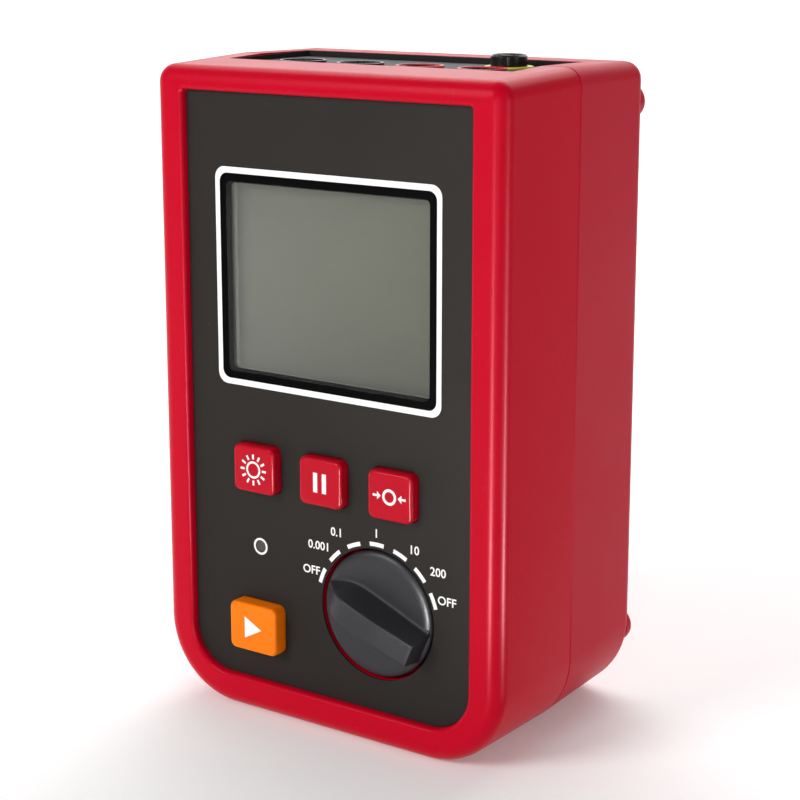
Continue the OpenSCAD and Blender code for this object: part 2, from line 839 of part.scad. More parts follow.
module shaft_clip() color("#9a9aa0") {
    from = board_back_y + clip_gap + seat;
    to = from + clip_t - 2 * seat;
    difference() {
        rod(knob_x, knob_z, from, to, clip_r);
        rod(knob_x, knob_z, from - over, to + over, shaft_r - groove_d + seat);
        block([knob_x - clip_r, from - over, knob_z - shaft_r / 2],
            [knob_x, to + over, knob_z + shaft_r / 2]);
    }
}

module switch_rotor() color("#e8e2d0") {
    facing_front(knob_x, rotor_y + rotor_t, knob_z) difference() {
        cylinder(r = rotor_r, h = rotor_t);
        keyed_shaft(shaft_r + seat, -over, rotor_t + over, flat_depth);
        rotate([0, 0, first_angle]) translate([ball_track_r, 0, rotor_t - ball_pocket_d])
            cylinder(r = ball_r + fit, h = ball_pocket_d + over, $fn = 24);
    }
}

module wiper_springs() color("#c9a24a") {
    from = rotor_y + rotor_t + seat;
    to = board_y - wiper_gap;
    facing_front(knob_x, to, knob_z) for (a = [0:120:240]) rotate([0, 0, first_angle + a])
        translate([0, wiper_w / 2, 0]) rotate([90, 0, 0]) linear_extrude(wiper_w) polygon([
            [shaft_r + 2 * wiper_t, to - from], [shaft_r + 2 * wiper_t, to - from - wiper_t],
            [rotor_r / 2, to - from - wiper_t], [rotor_r - 3 * wiper_t, 0], [rotor_r - wiper_t, 0],
            [rotor_r - wiper_t, wiper_t], [rotor_r - 2 * wiper_t, wiper_t],
            [rotor_r / 2 + wiper_t, to - from]]);
}

// Centre of the detent ball in the rotor
module at_ball(out) {
    facing_front(knob_x, well_back_y + ball_proud, knob_z) rotate([0, 0, first_angle])
        translate([ball_track_r, 0, out]) children();
}

module detent_ball() color("#c0c0c8") at_ball(-ball_r) sphere(r = ball_r, $fn = 24);

// Cone washer that presses the ball out of the rotor
module detent_spring() color("#b0b0b8") {
    low = seat + ball_proud - rotor_gap - ball_pocket_d;
    high = -2 * ball_r - seat;
    at_ball(0) rotate_extrude() polygon([[ball_r - spring_t, low], [ball_r, low], [ball_r / 2, high],
        [ball_r / 2 - spring_t, high]]);
}

module mount_holes(from, to) {
    each_mount() rod(0, 0, from - over, to + over, stud_r + fit);
}

module main_board() color("#1d5a34") {
    difference() {
        plate(0, (board_low + board_high) / 2, board_half, (board_high - board_low) / 2, least_r,
            board_y, board_back_y);
        mount_holes(board_y, board_back_y);
        rod(knob_x, knob_z, board_y - over, board_back_y + over, shaft_r + 4 * fit);
    }
}

module power_board() color("#1d5a34") {
    difference() {
        plate(0, (board_low + power_high) / 2, board_half, (power_high - board_low) / 2, least_r,
            power_y, power_back_y);
        mount_holes(power_y, power_back_y);
    }
}

module input_board() color("#1d5a34") {
    difference() {
        block([-input_half, socket_y - input_front, input_board_z],
            [input_half, socket_y + input_back, input_board_z + board_t]);
        each_socket(socket_shares) translate([0, 0, input_board_z - over])
            cylinder(r = tail_r + fit, h = board_t + 2 * over, $fn = 24);
    }
}

module board_link() color("#202020") {
    block([-link_half, power_back_y + seat, power_high - link_drop],
        [link_half, power_back_y + link_depth, input_board_z - seat]);
}

module stacking_connector() color("#202020") {
    plate(0, board_low + stack_rise, stack_half_w, stack_half_h, least_r, board_back_y + seat,
        power_y - seat);
}

// Hexagonal spacers, each with a stud that passes the main board into the shell
module board_spacers() color("#c9a24a") {
    each_mount() difference() {
        union() {
            facing_front(0, power_y - seat, 0)
                cylinder(r = spacer_side_r, h = spacer_l - 2 * seat, $fn = 6);
            rod(0, 0, board_y - stud_l, board_back_y + 2 * seat, stud_r);
        }
        rod(0, 0, power_y - board_screw_l, power_y + over, stud_r + thread_gap);
    }
}

module board_screws() color("#b8b8bc") {
    each_mount() {
        rod(0, 0, power_y - board_screw_l + fit, power_back_y + 2 * seat, stud_r);
        rod(0, 0, power_back_y + seat, power_back_y + board_screw_head_h, board_screw_head_r);
    }
}

module control_chips() color("#181818") {
    for (i = [0:2])
        plate(chip_half - board_half + 2 * mount_inset_z + i * chip_step,
            (board_low + power_high) / 2 + chip_step, chip_half * (1 - i / 5),
            chip_half * (1 - i / 5), least_r, board_back_y + seat, board_back_y + chip_t);
}

module capacitors() color("#20242c") {
    for (i = [0:2])
        rod(board_half - capacitor_r - 2 * mount_inset_x,
            power_high - capacitor_r - 3 * mount_inset_z - i * capacitor_step, power_back_y + seat,
            power_back_y + capacitor_l, capacitor_r);
}

module relay() color("#2060a0") {
    block([board_half - relay_w - mount_inset_x, power_back_y + seat, board_low + relay_rise],
        [board_half - mount_inset_x, power_back_y + relay_t, board_low + relay_rise + relay_h]);
}

// A thick strap on two legs that carries the measuring current
module current_shunt() color("#8a7a60") {
    translate([-shunt_w / 2, power_back_y + seat, bay_low]) linear_extrude(shunt_h) polygon([
        [0, 0], [shunt_leg, 0], [shunt_leg, shunt_t], [shunt_t, shunt_t],
        [shunt_t, shunt_h - shunt_t], [shunt_w - shunt_t, shunt_h - shunt_t],
        [shunt_w - shunt_t, shunt_t], [shunt_w - shunt_leg, shunt_t], [shunt_w - shunt_leg, 0],
        [shunt_w, 0], [shunt_w, shunt_h], [0, shunt_h]]);
}

module power_transistors() color("#202020") {
    for (i = [0:1])
        block([mount_inset_z - board_half + i * transistor_step, power_back_y + seat,
            power_high - 2 * mount_inset_z - transistor_h],
            [mount_inset_z - board_half + i * transistor_step + transistor_w,
            power_back_y + transistor_t, power_high - 2 * mount_inset_z]);
}

module heat_sink() color("#a8aab0") {
    translate([mount_inset_x - board_half, power_back_y + transistor_t + seat,
        power_high - mount_inset_z - sink_h - stud_l]) {
        cube([sink_w, sink_base, sink_h]);
        for (i = [0:fins - 1]) translate([i * (sink_w - fin_t) / (fins - 1), sink_base - seat, 0])
            cube([fin_t, sink_depth - sink_base, sink_h]);
    }
}

module buzzer() color("#181818") {
    rod(board_half - 2 * buzzer_r, (board_low + power_high) / 2, board_back_y + seat,
        board_back_y + buzzer_t, buzzer_r);
}

module top_panel() color("#32322f") {
    difference() {
        block([-top_half - top_panel_lap, top_front_y - top_panel_lap, panel_low_z],
            [top_half + top_panel_lap, top_back_y + top_panel_lap, panel_z - seat]);
        each_socket(socket_shares) translate([0, 0, panel_low_z - over])
            cylinder(r = barrel_r + fit, h = top_panel_t + 2 * over);
        translate([fuse_x, fuse_y, panel_low_z - over])
            cylinder(r = holder_r + fit, h = top_panel_t + 2 * over);
    }
}

module socket_bodies() color("#161616") {
    each_socket(socket_shares) difference() {
        union() {
            translate([0, 0, panel_z - socket_l]) cylinder(r = barrel_r, h = socket_l + collar_h);
            translate([0, 0, panel_z]) cylinder(r = collar_r, h = collar_h);
        }
        translate([0, 0, panel_z - socket_l + socket_floor_t])
            cylinder(r = shroud_r, h = socket_l + collar_h);
        translate([0, 0, panel_z - socket_l - over])
            cylinder(r = tail_r + seat, h = socket_floor_t + 2 * over, $fn = 24);
    }
}

module colour_ring() {
    translate([0, 0, panel_z]) difference() {
        cylinder(r = barrel_r + ring_w + fit, h = ring_h);
        translate([0, 0, -over]) cylinder(r = collar_r + fit, h = ring_h + 2 * over);
    }
}

module black_rings() color("#101010") each_socket(black_shares) colour_ring();

module red_rings() color("#d72d32") each_socket(red_shares) colour_ring();

module socket_contacts() color("#c9a24a") {
    low = panel_z - socket_l + socket_floor_t + seat;
    each_socket(socket_shares) difference() {
        union() {
            translate([0, 0, low]) cylinder(r = sleeve_r, h = sleeve_top_z - low);
            translate([0, 0, input_board_z - board_t])
                cylinder(r = tail_r, h = low - input_board_z + board_t + over, $fn = 24);
        }
        translate([0, 0, sleeve_top_z - plug_l]) cylinder(r = plug_r, h = plug_l + over);
    }
}

module hex_nut(x, y, hole) {
    translate([x, y, panel_low_z - nut_t - seat]) difference() {
        cylinder(r = nut_side_r, h = nut_t, $fn = 6);
        translate([0, 0, -over]) cylinder(r = hole + thread_gap, h = nut_t + 2 * over);
    }
}

module socket_nuts() color("#b8b8bc") {
    for (s = socket_shares) hex_nut(s * socket_pitch, socket_y, barrel_r);
}

module at_fuse(z) {
    translate([fuse_x, fuse_y, z]) children();
}

module fuse_ring() color("#f2ec4a") {
    at_fuse(panel_z) difference() {
        cylinder(r = barrel_r + ring_w + fit, h = holder_flange_h - seat);
        translate([0, 0, -over]) cylinder(r = cap_r + 2 * fit, h = holder_flange_h + 2 * over);
    }
}

module fuse_holder() color("#141414") {
    low = panel_z - holder_l;
    difference() {
        union() {
            at_fuse(low) cylinder(r = holder_r, h = holder_l);
            at_fuse(panel_z) cylinder(r = cap_r + fit, h = holder_flange_h);
        }
        at_fuse(low + contact_t) cylinder(r = holder_bore_r, h = holder_l + holder_flange_h);
    }
}

module fuse_nut() color("#202020") {
    translate([fuse_x, fuse_y, panel_low_z - nut_t - seat]) difference() {
        cylinder(r = holder_r + ring_w, h = nut_t);
        translate([0, 0, -over]) cylinder(r = holder_r + thread_gap, h = nut_t + 2 * over);
    }
}

// Sprung cup at the bottom of the holder
module fuse_contact() color("#c9a24a") {
    low = panel_z - holder_l + contact_t + seat;
    at_fuse(low) difference() {
        cylinder(r = fuse_r, h = fuse_low_z - low - fit);
        translate([0, 0, contact_t]) cylinder(r = fuse_r - contact_t, h = fuse_low_z - low);
    }
}

// Cap with a finger bar across its dished top, on a sleeve that grips the fuse
module fuse_cap() color("#121212") {
    top = panel_z + holder_flange_h + seat;
    difference() {
        union() {
            at_fuse(top) rotate_extrude() polygon([[0, 0], [cap_r, 0], [cap_r, cap_h - cap_edge],
                [cap_r - cap_edge, cap_h], [0, cap_h]]);
            at_fuse(top - carrier_l) cylinder(r = carrier_r, h = carrier_l + seat);
        }
        at_fuse(top - carrier_l - over) cylinder(r = fuse_r + fit, h = carrier_hole_d + over);
        at_fuse(top + cap_h - cap_dish_d) difference() {
            cylinder(r1 = cap_r - 3 * cap_edge, r2 = cap_r - 1.5 * cap_edge, h = cap_dish_d + seat);
            block([-cap_r, -cap_bar_w / 2, -over], [cap_r, cap_bar_w / 2, cap_dish_d - cap_edge / 2]);
        }
    }
}

module fuse_glass() color("#d8e8e8", 0.4) {
    at_fuse(fuse_low_z + end_cap_t + seat) difference() {
        cylinder(r = fuse_r - end_cap_t - seat, h = fuse_l - 2 * end_cap_t - 2 * seat);
        translate([0, 0, -over]) cylinder(r = fuse_r / 2, h = fuse_l + over);
    }
}

module fuse_end_caps() color("#c8c8cc") {
    for (up = [0, 1]) at_fuse(fuse_low_z + up * (fuse_l - end_cap_l)) difference() {
        cylinder(r = fuse_r, h = end_cap_l);
        translate([0, 0, up == 0 ? end_cap_t : -over])
            cylinder(r = fuse_r - end_cap_t, h = up == 0 ? end_cap_l : end_cap_l - end_cap_t + over);
    }
}

module battery_cells() color("#3a6a9a") {
    for (i = [0:cells - 1]) let (
            x = (i - (cells - 1) / 2) * (2 * cell_r + cell_gap),
            up = i % 2,
            low = bay_low + contact_room + (up == 1 ? 0 : button_l))
        translate([x, door_seat_y - cell_gap - cell_r, low]) {
            cylinder(r = cell_r, h = cell_l);
            translate([0, 0, up == 1 ? cell_l - seat : -button_l]) cylinder(r = button_r, h = button_l + seat);
        }
}

// A contact plate with a bowed leaf at each end of each cell
module battery_contacts() color("#c8c8cc") {
    for (i = [0:cells - 1]) for (end = [0, 1]) {
        x = (i - (cells - 1) / 2) * (2 * cell_r + cell_gap);
        translate([x, door_seat_y - cell_gap - cell_r, end == 0 ? bay_low + seat : bay_high - seat])
            scale([1, 1, end == 0 ? 1 : -1]) translate([0, plate_w / 2, 0]) rotate([90, 0, 0])
                linear_extrude(plate_w) polygon([[-plate_w / 2, 0], [plate_w / 2, 0],
                    [plate_w / 2, plate_t], [plate_w / 4, plate_t],
                    [plate_t, contact_room - 2 * seat], [-plate_t, contact_room - 2 * seat],
                    [-plate_w / 4, plate_t], [-plate_w / 2, plate_t]]);
    }
}

module battery_door() color("#b8203a") {
    difference() {
        door_outline(0, door_seat_y + seat, back_y - seat);
        for (x = [-door_screw_x, door_screw_x]) {
            rod(x, door_screw_z, door_seat_y, back_y + over, screw_r + fit);
            rod(x, door_screw_z, back_y - door_t / 2, back_y + over, head_well_r);
        }
    }
}

module screw_head_cross() {
    for (a = [0, 90]) rotate([0, a, 0]) cube([1.2 * head_r, screw_r, screw_r / 2], center = true);
}

module door_screws() color("#b8b8bc") {
    for (x = [-door_screw_x, door_screw_x]) difference() {
        union() {
            rod(x, door_screw_z, door_seat_y - door_boss_l + 2 * bay_wall,
                back_y - door_t / 2 + 2 * seat, screw_r);
            rod(x, door_screw_z, back_y - door_t / 2 + seat, back_y - fit, head_r);
        }
        translate([x, back_y, door_screw_z]) screw_head_cross();
    }
}

// Soft domed feet that close the wells of the case screws
module rear_feet() color("#c01c34") {
    dome = [for (i = [0:edge_steps]) let (a = 90 * i / edge_steps) [foot_r * cos(a), foot_h * sin(a)]];
    each_foot() translate([0, back_y, 0]) rotate([-90, 0, 0]) rotate_extrude() polygon(concat(
        [[0, -foot_seat - foot_stem_l], [head_well_r - fit, -foot_seat - foot_stem_l],
            [head_well_r - fit, seat - foot_seat], [foot_r, seat - foot_seat]], dome));
}

module case_screws() color("#b8b8bc") {
    seat_y = back_y - screw_well_d;
    each_foot() difference() {
        union() {
            rod(0, 0, split_y - screw_grip, seat_y + seat, screw_r);
            rod(0, 0, seat_y + seat, seat_y + head_h, head_r);
        }
        translate([0, seat_y + head_h, 0]) screw_head_cross();
    }
}

front_shell();
rear_shell();
front_overlay();
display_window();
display_frame();
display_glass();
light_guide();
connector_strips();
light_key();
hold_key();
zero_key();
test_key();
light_plunger();
hold_plunger();
zero_plunger();
test_plunger();
switch_bodies();
light_pipe();
indicator_lamp();
range_knob();
knob_shaft();
shaft_bush();
shaft_clip();
switch_rotor();
wiper_springs();
detent_ball();
detent_spring();
main_board();
power_board();
input_board();
board_link();
stacking_connector();
board_spacers();
board_screws();
control_chips();
capacitors();
relay();
current_shunt();
power_transistors();
heat_sink();
buzzer();
top_panel();
socket_bodies();
black_rings();
red_rings();
socket_contacts();
socket_nuts();
fuse_ring();
fuse_holder();
fuse_nut();
fuse_contact();
fuse_cap();
fuse_glass();
fuse_end_caps();
battery_cells();
battery_contacts();
battery_door();
door_screws();
rear_feet();
case_screws();
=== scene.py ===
import json
import math

import bmesh
import bpy
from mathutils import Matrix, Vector


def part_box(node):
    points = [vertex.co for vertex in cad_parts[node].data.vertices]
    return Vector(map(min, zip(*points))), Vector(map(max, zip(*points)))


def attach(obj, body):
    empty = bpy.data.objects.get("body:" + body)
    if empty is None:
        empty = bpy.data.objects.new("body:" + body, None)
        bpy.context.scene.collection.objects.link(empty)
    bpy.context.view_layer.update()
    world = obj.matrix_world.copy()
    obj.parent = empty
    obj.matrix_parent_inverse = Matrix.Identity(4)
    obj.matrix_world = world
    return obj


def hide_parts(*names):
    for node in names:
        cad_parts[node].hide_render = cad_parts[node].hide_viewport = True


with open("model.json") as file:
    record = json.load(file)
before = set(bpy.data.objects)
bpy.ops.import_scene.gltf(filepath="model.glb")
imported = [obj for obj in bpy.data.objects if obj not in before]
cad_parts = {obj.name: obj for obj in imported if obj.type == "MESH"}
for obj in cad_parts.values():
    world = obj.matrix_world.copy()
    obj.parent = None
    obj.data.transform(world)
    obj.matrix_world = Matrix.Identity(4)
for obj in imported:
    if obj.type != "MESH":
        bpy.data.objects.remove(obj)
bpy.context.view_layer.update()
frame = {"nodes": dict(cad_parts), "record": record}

# Dresses the CAD model of a micro ohmmeter: finishes, soft shading, print, the finished knob, light
# and camera. Lengths are in millimetres and become metres where a mesh is made, up to the stage,
# whose lengths are in metres.

nodes = frame["nodes"]
scene = bpy.context.scene


def mm(*values):
    """Point in metres, from millimetres."""
    return Vector([v / 1000 for v in values])


# Places taken from the CAD nodes

def cad(node):
    """Lower and upper corner of a CAD node."""
    low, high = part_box(node)
    return Vector(low) * 1000, Vector(high) * 1000


def middle(low, high):
    """Middle of a box, seen from the front."""
    return (low.x + high.x) / 2, (low.z + high.z) / 2


FACE_Y = cad("front_overlay")[0].y
knob_low, knob_high = cad("range_knob")
KNOB_X, KNOB_Z = middle(knob_low, knob_high)
KNOB_R = (knob_high.x - knob_low.x) / 2
LAMP_X, LAMP_Z = middle(*cad("light_pipe"))
window_low, window_high = cad("display_window")
WINDOW_X, WINDOW_Z = middle(window_low, window_high)
WINDOW_HALF_W = (window_high.x - window_low.x) / 2
WINDOW_HALF_H = (window_high.z - window_low.z) / 2
WINDOW_BACK = window_high.y
panel_low, panel_high = cad("top_panel")


# Shader nodes

MIX_SHARE, MIX_A, MIX_B, MIX_OUT = 0, 6, 7, 2   # the mix node's sockets for colours


def add(tree, kind, inputs, output=None, **settings):
    """New shader node. An input takes a value, or the output of another node."""
    made = tree.nodes.new("ShaderNode" + kind)
    for name, value in settings.items():
        setattr(made, name, value)
    for socket, value in inputs.items():
        if isinstance(value, bpy.types.NodeSocket):
            tree.links.new(value, made.inputs[socket])
        else:
            made.inputs[socket].default_value = value
    return made if output is None else made.outputs[output]


def noise(tree, place, scale, detail, rough=0.5):
    values = {"Vector": place, "Scale": scale, "Detail": detail, "Roughness": rough}
    return add(tree, "TexNoise", values, "Fac")


def remap(tree, value, source, target, **settings):
    """Carries the range source over to the range target."""
    values = {"Value": value, "From Min": source[0], "From Max": source[1],
              "To Min": target[0], "To Max": target[1]}
    return add(tree, "MapRange", values, "Result", **settings)


def mix_colours(tree, share, a, b):
    values = {MIX_SHARE: share, MIX_A: a, MIX_B: b}
    return add(tree, "Mix", values, MIX_OUT, data_type="RGBA")


def maths(tree, operation, a, b):
    return add(tree, "Math", {0: a, 1: b}, "Value", operation=operation)


def put(shader, values):
    for socket, value in values.items():
        shader.inputs[socket].default_value = value


# Colours and finishes

# Each noise has a scale, a detail and for some a roughness. Its range is the part of it that shows.
BROAD, BROAD_RANGE = (38.0, 5.0, 0.6), (0.3, 0.7)
FINE_DETAIL = 2.0
SPECKS, SPECK_RANGE, DUST = (900.0, 3.0), (0.66, 0.78), (0.55, 0.53, 0.5, 1)
SCRATCHES, SCRATCH_RANGE = (1.0, 1.0), (0.68, 0.74)
SCRATCH_TURN, SCRATCH_SCALE = (0.3, 0.5, 0.7), (60.0, 900.0, 900.0)
SMEARS, SMEAR_RANGE, SMEAR_ROUGH = (45.0, 6.0), (0.35, 0.75), 0.1
RELIEF_DEPTH = 0.0001       # metres
COAT_ROUGH, GLASS_INDEX = 0.12, 1.45
DEPTH_COLOURS, DEPTH_REACH = (1.0, 0.5, 0.25), 0.002     # shares of red, green and blue; metres


def linear(r, g, b):
    """Linear colour from levels of 0 to 255."""
    def one(c):
        c /= 255
        return c / 12.92 if c <= 0.04045 else ((c + 0.055) / 1.055) ** 2.4
    return (one(r), one(g), one(b), 1.0)


def scaled(colour, k):
    """The colour k times as bright."""
    return (*(min(c * k, 1) for c in colour[:3]), 1)


def finish(name, levels, rough, grain=0.35, bump=0.12, spread=0.05, metallic=0.0, coat=0.0,
           specular=0.5, edge=0.12, scratch=0.0, tint=0.05, dust=0.0, gleam=(1, 1, 1), depth=0.0):
    """Surface with a fine grain, uneven roughness, slight colour drift, soft edges and wear.

    grain and edge are sizes; spread and scratch say how far the roughness strays, tint and dust
    how far the colour does; gleam tints reflections; depth is the share of light that sinks in.
    """
    colour = linear(*levels)
    material = bpy.data.materials.new(name)
    material.use_nodes = True
    tree = material.node_tree
    place = add(tree, "TexCoord", {}, "Object")
    broad = noise(tree, place, *BROAD)
    fine = noise(tree, place, 1000 / grain, FINE_DETAIL)

    surface = mix_colours(tree, broad, scaled(colour, 1 - tint), scaled(colour, 1 + tint))
    if dust > 0:
        share = remap(tree, noise(tree, place, *SPECKS), SPECK_RANGE, (0.0, dust))
        surface = mix_colours(tree, share, surface, DUST)

    roughness = remap(tree, broad, BROAD_RANGE, (max(rough - spread, 0.02), min(rough + spread, 1.0)))
    if scratch > 0:
        stretched = add(tree, "Mapping", {"Vector": place, "Rotation": SCRATCH_TURN,
                                          "Scale": SCRATCH_SCALE}, "Vector")
        lines = remap(tree, noise(tree, stretched, *SCRATCHES), SCRATCH_RANGE, (0.0, scratch))
        roughness = maths(tree, "ADD", roughness, lines)

    relief = {"Strength": bump, "Distance": RELIEF_DEPTH, "Height": fine}
    if edge > 0:
        relief["Normal"] = add(tree, "Bevel", {"Radius": edge / 1000}, "Normal", samples=4)
    shader = tree.nodes["Principled BSDF"]
    tree.links.new(surface, shader.inputs["Base Color"])
    tree.links.new(roughness, shader.inputs["Roughness"])
    tree.links.new(add(tree, "Bump", relief, "Normal"), shader.inputs["Normal"])
    put(shader, {"Metallic": metallic, "Coat Weight": coat, "Coat Roughness": COAT_ROUGH,
                 "Specular IOR Level": specular, "Specular Tint": (*gleam, 1),
                 "Subsurface Weight": depth, "Subsurface Radius": DEPTH_COLOURS,
                 "Subsurface Scale": DEPTH_REACH})
    return material


def clear(name, tint, alpha, rough=0.02):
    """Clear plastic or glass: mostly see-through, with a reflection that grows at grazing angles."""
    material = bpy.data.materials.new(name)
    material.use_nodes = True
    tree = material.node_tree
    tree.nodes.clear()
    place = add(tree, "TexCoord", {}, "Object")
    smears = noise(tree, place, *SMEARS)
    smudge = remap(tree, smears, SMEAR_RANGE, (rough, rough + SMEAR_ROUGH))
    share = maths(tree, "MULTIPLY", add(tree, "Fresnel", {"IOR": GLASS_INDEX}, "Fac"), alpha)
    through = add(tree, "BsdfTransparent", {"Color": tint}, "BSDF")
    gloss = add(tree, "BsdfGlossy", {"Color": (1, 1, 1, 1), "Roughness": smudge}, "BSDF")
    mixed = add(tree, "MixShader", {"Fac": share, 1: through, 2: gloss}, "Shader")
    add(tree, "OutputMaterial", {"Surface": mixed})
    return material


def shade_edges(material, low=(0.5, 0.76), left=(0.35, 0.88)):
    """Painted shade: darker toward the lower and left edges, as a display looks from above and the
    right.

    For each edge: how far in the shade reaches, as a share of the size, and what it leaves there.
    """
    tree = material.node_tree
    base = tree.nodes["Principled BSDF"].inputs["Base Color"]
    surface = base.links[0].from_socket
    place = add(tree, "TexCoord", {}, "Generated")
    axes = add(tree, "SeparateXYZ", {"Vector": place})
    shares = [remap(tree, axes.outputs[axis], (0.0, reach), (dark, 1.0),
                    interpolation_type="SMOOTHSTEP")
              for axis, (reach, dark) in (("Z", low), ("X", left))]
    share = maths(tree, "MULTIPLY", *shares)
    shaded = add(tree, "VectorMath", {0: surface, "Scale": share}, "Vector", operation="SCALE")
    tree.links.new(shaded, base)


# What finishes of one kind share
SHELL = {"grain": 0.5, "tint": 0.03}
KEY = {"grain": 0.3, "bump": 0.08, "specular": 0.2, "edge": 0.25, "scratch": 0.04, "tint": 0.03}
METAL = {"metallic": 1.0, "bump": 0.05, "scratch": 0.1}
RING = {"bump": 0.05, "edge": 0.1}

RED = finish("case red", (193, 3, 35), 0.3, bump=0.05, spread=0.025, specular=0.13,
             gleam=(1, 0.38, 0.44), edge=0.0, scratch=0.04, dust=0.04, **SHELL)
RED_BACK = finish("back red", (187, 8, 40), 0.38, bump=0.1, spread=0.04, specular=0.1,
                  gleam=(1, 0.35, 0.4), edge=0.0, scratch=0.06, dust=0.04, **SHELL)
DOOR = finish("door red", (190, 14, 38), 0.4, bump=0.14, specular=0.18, edge=0.3, scratch=0.08,
              dust=0.05, **SHELL)
OVERLAY = finish("overlay film", (40, 36, 33), 0.5, grain=0.25, bump=0.1, spread=0.06,
                 specular=0.1, edge=0.1, scratch=0.05, tint=0.04, dust=0.03)
KEY_RED = finish("red keys", (188, 2, 32), 0.22, gleam=(1, 0.6, 0.6), depth=0.3, **KEY)
KEY_ORANGE = finish("orange key", (255, 126, 0), 0.28, gleam=(1, 0.8, 0.6), depth=0.35, **KEY)
KNOB = finish("knob grey", (42, 42, 46), 0.36, grain=0.3, bump=0.14, specular=0.3, edge=0.25,
              scratch=0.08, dust=0.06)
PANEL = finish("top panel", (38, 36, 36), 0.5, grain=0.3, bump=0.15, specular=0.12, edge=0.1,
               dust=0.06)
BLACK = finish("gloss black", (22, 22, 22), 0.22, grain=0.4, bump=0.05, edge=0.15, scratch=0.05,
               dust=0.04)
INNER = finish("inner black", (18, 18, 18), 0.5, edge=0.1)
MASK = finish("black border", (4, 3, 3), 0.6, bump=0.03, specular=0.02, edge=0.0)
# Painted light: the display frame is made light grey so that its wall at the display's left, which
# lies in shade, looks lit
FRAME_PAINTED_LIGHT = finish("display frame, painted light grey", (140, 138, 128), 0.5, specular=0.12, edge=0.1)
RING_RED = finish("red ring", (214, 40, 50), 0.3, **RING)
RING_YELLOW = finish("yellow ring", (244, 238, 84), 0.3, **RING)
PRINT = finish("white print", (250, 249, 246), 0.45, grain=0.15, edge=0.0, tint=0.02)
NICKEL = finish("nickel", (150, 148, 142), 0.34, **METAL)
STEEL = finish("steel", (180, 180, 184), 0.3, metallic=1.0, bump=0.06, scratch=0.1)
BRASS = finish("brass", (205, 165, 90), 0.28, **METAL)
BOARD = finish("board", (30, 92, 52), 0.35, grain=0.6, bump=0.1)
CREAM = finish("rotor", (222, 214, 196), 0.4)
BLUE = finish("relay blue", (50, 96, 160), 0.3)
CELL = finish("cell sleeve", (52, 104, 150), 0.3)
SINK = finish("heat sink", (160, 162, 166), 0.35, metallic=0.9, bump=0.1, scratch=0.1)
WHITE = finish("light guide", (226, 230, 224), 0.5)
PINK = finish("strip", (196, 128, 150), 0.6)
ALLOY = finish("shunt", (150, 132, 108), 0.3, metallic=1.0)
GLASS_GREY = finish("display grey", (102, 101, 89), 0.4, grain=4.0, bump=0.01, spread=0.03,
                    specular=0.12, edge=0.0, tint=0.01)
WINDOW = clear("clear window", (0.93, 0.94, 0.92, 1), 0.55)
CLEAR = clear("clear glass", (0.85, 0.9, 0.9, 1), 0.9)
LENS = finish("lamp lens", (38, 30, 26), 0.12, bump=0.03, coat=0.5)
# Painted shade on the display: darker toward its lower and left edges
shade_edges(GLASS_GREY)

BY_SLOT = {
    "case_red": RED, "overlay_dark": OVERLAY, "clear_window": WINDOW, "display_grey": GLASS_GREY,
    "guide_white": WHITE, "strip_pink": PINK, "key_red": KEY_RED, "key_orange": KEY_ORANGE,
    "inner_black": INNER, "pipe_clear": LENS, "knob_grey": KNOB, "steel": STEEL,
    "brass": BRASS, "rotor_cream": CREAM, "board_green": BOARD, "relay_blue": BLUE,
    "alloy": ALLOY, "sink_aluminium": SINK, "panel_dark": PANEL, "socket_black": BLACK,
    "ring_red": RING_RED, "ring_yellow": RING_YELLOW, "fuse_glass": CLEAR, "nickel": NICKEL,
    "cell_blue": CELL, "foot_red": RED_BACK,
}
BY_NODE = {"rear_shell": RED_BACK, "battery_door": DOOR, "display_frame": FRAME_PAINTED_LIGHT}

# Each CAD node takes its own finish, or else that of its slot
for part in frame["record"]["subparts"]:
    slots = nodes[part["node"]].data.materials
    slots.clear()
    slots.append(BY_NODE.get(part["node"], BY_SLOT[part["material_slot"]]))


# Smooth shading, sharp where faces meet at an angle

WELD = 0.000002             # metres
SHARP_ANGLE, BEVEL_ANGLE = math.radians(28), math.radians(30)


def soft_shading():
    group = bpy.data.node_groups.new("soft shading", "GeometryNodeTree")
    for side in ("INPUT", "OUTPUT"):
        group.interface.new_socket("Geometry", in_out=side, socket_type="NodeSocketGeometry")
    make, link = group.nodes.new, group.links.new
    come, go = make("NodeGroupInput"), make("NodeGroupOutput")
    merge = make("GeometryNodeMergeByDistance")
    merge.inputs["Distance"].default_value = WELD
    faces = make("GeometryNodeSetShadeSmooth")
    faces.domain = "FACE"
    faces.inputs["Shade Smooth"].default_value = True
    edges = make("GeometryNodeSetShadeSmooth")
    edges.domain = "EDGE"
    bend = make("GeometryNodeInputMeshEdgeAngle")
    small = make("ShaderNodeMath")
    small.operation = "LESS_THAN"
    small.inputs[1].default_value = SHARP_ANGLE
    link(bend.outputs["Unsigned Angle"], small.inputs[0])
    link(small.outputs["Value"], edges.inputs["Shade Smooth"])
    chain = (come, merge, faces, edges, go)
    for before, after in zip(chain, chain[1:]):
        link(before.outputs["Geometry"], after.inputs["Geometry"])
    return group


SOFT = soft_shading()


def smooth(obj):
    step = obj.modifiers.new("soft shading", "NODES")
    step.node_group = SOFT
    weigh = obj.modifiers.new("weighted normals", "WEIGHTED_NORMAL")
    weigh.keep_sharp = True
    weigh.mode = "FACE_AREA_WITH_ANGLE"


for node in nodes.values():
    smooth(node)


# Pieces and outlines

